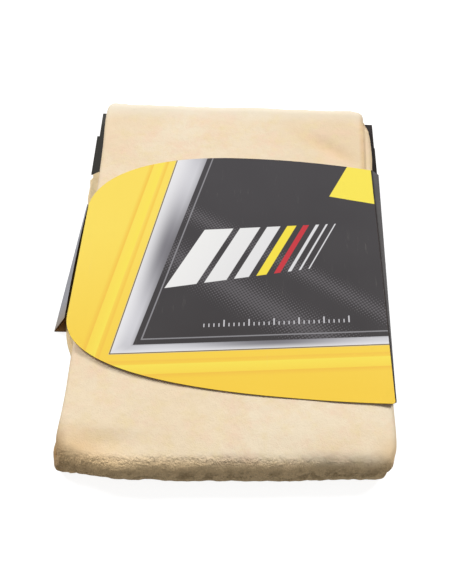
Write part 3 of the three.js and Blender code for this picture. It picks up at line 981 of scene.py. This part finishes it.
UPPER_RIGHT = (
    (-150, -5.6), (-141, -4.0), (-136, -2.6), (-125, -1.8), (-100, -2.2), (0, -3.2), (86, -2.6),
    (100, -2.2), (126, -2.5), (130, -3.6), (134, -6.0), (143, -5.4), (150, -6.4),
)
NEAR_END = (
    (-103, -3.0), (-88, -1.2), (-65, 1.5), (-41, 2.6), (0, 2.5), (44, 2.1), (74, 0.9), (98, 0.2),
)
FAR_END = (
    (-101, -0.6), (-93, -1.6), (-82, -2.8), (-40, -2.7), (0, -2.2), (22, -2.0), (42, -3.0),
    (75, -2.6), (92, -1.6),
)
# How far the near roll's upper half stands back, as (place along X, setback)
NEAR_SETBACK = (
    (-103, 2.9), (-97, 2.6), (-92, 1.6), (-85, 0.1), (-76, -1.0), (-61, -1.8), (-38, 0.5),
    (-15, 0.7), (8, 2.0), (32, 0.9), (55, 2.6), (78, 1.6), (98, 1.6),
)


def grid_count(stretches):
    return sum(count for _, count in stretches)


def stretch_at(stretches, share):
    """The stretch that a share of the grid falls in, and the share of that stretch."""
    in_grid = share * grid_count(stretches)
    for name, count in stretches[:-1]:
        if in_grid <= count:
            return name, in_grid / count
        in_grid -= count
    name, count = stretches[-1]
    return name, min(1.0, in_grid / count)


def curve_at(points, where):
    """A smooth curve through points of (place, value), level beyond its ends."""
    if where <= points[0][0]:
        return points[0][1]
    if where >= points[-1][0]:
        return points[-1][1]
    first = bisect.bisect_right(points, (where, math.inf)) - 1

    def slope(index):
        low, high = points[max(index - 1, 0)], points[min(index + 1, len(points) - 1)]
        return (high[1] - low[1]) / (high[0] - low[0])

    (start, from_value), (end, to_value) = points[first], points[first + 1]
    step = end - start
    share = (where - start) / step
    rest = 1 - share
    return (
        from_value * (1 + 2 * share) * rest * rest + to_value * (3 - 2 * share) * share * share
        + step * share * rest * (slope(first) * rest - slope(first + 1) * share)
    )


def squared(value, power):
    """A sine or cosine pushed outwards, so that the round it draws is a little square."""
    return math.copysign(abs(value) ** power, value)


def across_point(share):
    """Place across the width and level above the meeting plane, for the middle of the leather."""
    name, part = stretch_at(ACROSS, share)
    if name == "middle":
        return MIDDLE_EDGE_X + (SMALL_LOOP_X - MIDDLE_EDGE_X) * part, MIDDLE_LEVEL
    if name == "small loop":
        angle = math.pi * (1.5 - part)
        return (
            SMALL_LOOP_X + SMALL_RADIUS * squared(math.cos(angle), LOOP_SQUARENESS),
            MIDDLE_LEVEL + SMALL_RADIUS * (1 + math.sin(angle)),
        )
    if name == "outer":
        return SMALL_LOOP_X + (OUTER_EDGE_X - SMALL_LOOP_X) * part, OUTER_LEVEL
    if name == "outer edge":
        return OUTER_EDGE_X + (LARGE_LOOP_X - OUTER_EDGE_X) * part, OUTER_LEVEL
    if name == "large loop":
        angle = math.pi * (0.5 - part)
        return (
            LARGE_LOOP_X + LEAF_PITCH * squared(math.cos(angle), LOOP_SQUARENESS),
            MIDDLE_LEVEL + LEAF_PITCH * squared(math.sin(angle), LOOP_SQUARENESS),
        )
    return LARGE_LOOP_X + (INNER_EDGE_X - LARGE_LOOP_X) * part, INNER_LEVEL


def along_point(share, level):
    """Place along the stack and height for a level, how far round the roll it is from below, from
    0 to 1, and how far it belongs to the lower bundle."""
    name, part = stretch_at(ALONG, share)
    radius = BUNDLE_GAP / 2 + level
    if name == "top":
        return -ROLL_Y + 2 * ROLL_Y * part, ROLL_Z + radius, 1.0, 0.0
    end = -1 if name.startswith("near") else 1
    if name.endswith("roll"):
        turn = part if end < 0 else 1 - part
        angle = math.pi * turn
        return (
            end * (ROLL_Y + radius * squared(math.sin(angle), ROLL_SQUARENESS)),
            ROLL_Z - radius * squared(math.cos(angle), ROLL_SQUARENESS),
            turn,
            1 - smooth_step(turn, 0.47, 0.66),
        )
    reach = ROLL_Y - END_GAP / 2 - math.pi * (level - INNER_LEVEL)
    reach *= 1 - part if end < 0 else part
    return end * (ROLL_Y - reach), ROLL_Z - radius, 0.0, 1.0


def soft(x, y, z, size, seed):
    """Smooth seeded noise from about -1 to 1, with features of about that size."""
    return noise.noise(Vector((x / size + seed * 7.3, y / size - seed * 3.1, z / size + seed)))


def bell(value, middle, width):
    return math.exp(-(((value - middle) / width) ** 2))


def side_shift(y, under, sign):
    """How far the stack's side swells outwards here, in millimetres."""
    lower, upper = (LOWER_RIGHT, UPPER_RIGHT) if sign > 0 else (LOWER_LEFT, UPPER_LEFT)
    shift = under * curve_at(lower, y / MM) + (1 - under) * curve_at(upper, y / MM)
    return shift + 0.45 * soft(y, under * 0.06, sign, size=0.035, seed=2)


def end_shift(x, turn, end):
    """How far the stack's end swells outwards here, in millimetres."""
    shift = curve_at(NEAR_END if end < 0 else FAR_END, x / MM)
    shift += 0.5 * soft(x, turn * 0.02, end, size=0.022, seed=7)
    if end < 0:
        shift -= smooth_step(turn, 0.3, 0.75) * curve_at(NEAR_SETBACK, x / MM)
    return shift


def valley_depth(x, turn, end):
    """A shallow valley runs along the rolls, between the two bundles."""
    depth = 0.5 + 0.6 * soft(x, 0, end, size=0.03, seed=8)
    middle = 0.5 + 0.03 * soft(x, 0, end, size=0.05, seed=9)
    return depth * MM * bell(turn, middle, 0.09)


def roll_nubs(x, y, z):
    """The leather of the rolls is nubbly, the more so towards the left."""
    nubs = 0.7 * soft(x, y * 0.5, z, size=0.004, seed=5)
    nubs += 0.3 * soft(x, y * 0.5, z, size=0.010, seed=6)
    return nubs * (1 + 0.7 * smooth_step(-x, 70 * MM, 95 * MM)) * MM


def crown_share(x, y, side, sign):
    """The stack's height as a share: a little lower along its sides and at its ends, and rounded
    at its near corners."""
    crown = 1 - 0.04 * smooth_step(side, 0.85, 1.02)
    crown -= 0.05 * smooth_step(side, 0.8, 1.02) * smooth_step(y, 118 * MM, 150 * MM)
    crown -= 0.05 * smooth_step(-y, 126 * MM, 152 * MM)
    corner_x, corner_drop = (88, 0.2) if sign > 0 else (80, 0.1)
    beyond_side = max(0.0, abs(x) / MM - corner_x) / CORNER_REACH
    beyond_end = max(0.0, -y / MM - CORNER_Y) / CORNER_REACH
    rounding = smooth_step(math.hypot(beyond_side, beyond_end), 0.55, 1.35)
    rounding *= smooth_step(beyond_end, 0.0, 0.4) * smooth_step(beyond_side, 0.0, 0.4)
    return crown - corner_drop * rounding


def top_relief(x, y):
    """The top waves gently, is filled towards its near right, and has a dent and a dimple."""
    waves = sum(height * soft(x, y, 0, size, seed) for height, size, seed in TOP_WAVES)
    filled = FILL * smooth_step(x, -60 * MM, 5 * MM) * smooth_step(-y, -40 * MM, 20 * MM)
    off_dent = (y - 0.104) + DENT_SLOPE * (x - 0.070)
    dent = DENT * bell(off_dent, 0, 8 * MM) * bell(x, 0.071, 0.015)
    dimple = DIMPLE * bell(x, -0.070, 0.018) * bell(y, -0.137, 0.007)
    return waves + filled - dent - dimple - TOP_DROP


def ledge_drop(x, y, share):
    """At the far right the leaf below shows past the top one, a little lower."""
    ledge = smooth_step(x - 0.0945 - LEDGE_LEAN * (y - 0.088), -0.3 * MM, 0.7 * MM)
    return LEDGE * ledge * smooth_step(y, 60 * MM, 80 * MM) * smooth_step(share, 0.5, 1.0)


def base_level(y):
    """The stack lies on the header, on the back panel and on the table."""
    base = 1.55 * MM
    base -= 0.7 * MM * smooth_step(-y, -92 * MM, -78 * MM)
    return base - 0.65 * MM * smooth_step(-y, 84 * MM, 112 * MM)


def skin_point(across, along):
    """Place of the leather's middle, for a share of the grid across and along."""
    x, level = across_point(across)
    level += LEAF_WAVE * soft(x, along * 0.5, level * 4, size=0.045, seed=1)
    y, z, turn, under = along_point(along, level)
    y *= 1 - END_SLANT * x / HALF_WIDTH
    y += FAR_SHIFT
    end = -1 if y < 0 else 1
    sign = 1 if x > 0 else -1
    side = abs(x) / HALF_WIDTH

    sideways = smooth_step(side, 0.6, 1.0) * side_shift(y, under, sign)
    endways = smooth_step(abs(y), 112 * MM, 148 * MM) * end_shift(x, turn, end)
    x += sign * sideways * MM
    y += end * endways * MM
    y -= end * valley_depth(x, turn, end)
    y += end * math.sin(math.pi * turn) * roll_nubs(x, y, z)

    share = (z - STACK_BASE) / STACK
    height = STACK * crown_share(x, y, side, sign)
    height += top_relief(x, y) * smooth_step(share, 0.3, 1.0) - ledge_drop(x, y, share)
    base = base_level(y)
    return Vector((x, y, base + share * (height + STACK_BASE - base)))


def make_skin():
    grid = grid_mesh(grid_count(ACROSS), grid_count(ALONG), skin_point)
    folded = object_from("folded_chamois", grid, [chamois], smooth=True)
    thicken = folded.modifiers.new("leather", "SOLIDIFY")
    thicken.thickness = SKIN
    thicken.offset = 0
    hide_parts("chamois_skin")
    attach(folded, "skin")


make_skin()

# Floor, world and lamps

WHITE = (1, 1, 1, 1)
# The floor as it is seen, with its glow, and as it throws light back on the object
SEEN_FLOOR = (0.45, 0.45, 0.45, 1)
LIT_FLOOR = (0.48, 0.48, 0.48, 1)
FLOOR_GLOW = 0.88
FLOOR_REACH = 6
FLOOR_LEVEL = -0.1 * MM
FILL_LIGHT = 0.18
LAMP_SIZE = 2.6
LAMPS = (("left_lamp", (-4.3, 3.2, 4.5), 305.0), ("right_lamp", (4.2, 3.4, 4.5), 290.0))


def by_ray(tree, unseen, seen):
    """One shader for light that falls on the object, and another for rays from the camera and
    those that a glossy or clear surface sends on."""
    path = place(tree, "ShaderNodeLightPath").outputs
    rays = maths(tree, "MAXIMUM", path["Is Camera Ray"], path["Is Glossy Ray"])
    rays = maths(tree, "MAXIMUM", rays, path["Is Transmission Ray"])
    inputs = {0: rays, 1: unseen.outputs[0], 2: seen.outputs[0]}
    return place(tree, "ShaderNodeMixShader", inputs).outputs[0]


def make_floor():
    sheet = bmesh.new()
    bmesh.ops.create_grid(sheet, x_segments=1, y_segments=1, size=FLOOR_REACH)
    bmesh.ops.translate(sheet, vec=(0, 0, FLOOR_LEVEL), verts=list(sheet.verts))
    material = bpy.data.materials.new("studio_floor")
    material.use_nodes = True
    tree = material.node_tree
    tree.nodes.clear()
    pale = place(tree, "ShaderNodeBsdfDiffuse", {"Color": SEEN_FLOOR})
    dull = place(tree, "ShaderNodeBsdfDiffuse", {"Color": LIT_FLOOR})
    glow = place(tree, "ShaderNodeEmission", {"Color": WHITE, "Strength": FLOOR_GLOW})
    both = place(tree, "ShaderNodeAddShader", {0: pale.outputs[0], 1: glow.outputs[0]})
    place(tree, "ShaderNodeOutputMaterial", {0: by_ray(tree, dull, both)})
    floor = object_from("studio_floor", sheet, [material])


def make_world():
    world = bpy.data.worlds.new("studio")
    world.use_nodes = True
    tree = world.node_tree
    tree.nodes.clear()
    fill = place(tree, "ShaderNodeBackground", {"Color": WHITE, "Strength": FILL_LIGHT})
    white = place(tree, "ShaderNodeBackground", {"Color": WHITE, "Strength": 1.0})
    place(tree, "ShaderNodeOutputWorld", {0: by_ray(tree, fill, white)})
    bpy.context.scene.world = world


def add_lamp(name, where, power):
    """A round lamp that points at the object."""
    data = bpy.data.lights.new(name, "AREA")
    data.shape = "DISK"
    data.size = LAMP_SIZE
    data.energy = power
    lamp = bpy.data.objects.new(name, data)
    bpy.context.scene.collection.objects.link(lamp)
    lamp.location = where
    lamp.rotation_euler = (-Vector(where)).to_track_quat("-Z", "Y").to_euler()


make_floor()
make_world()
for name, where, power in LAMPS:
    add_lamp(name, where, power)
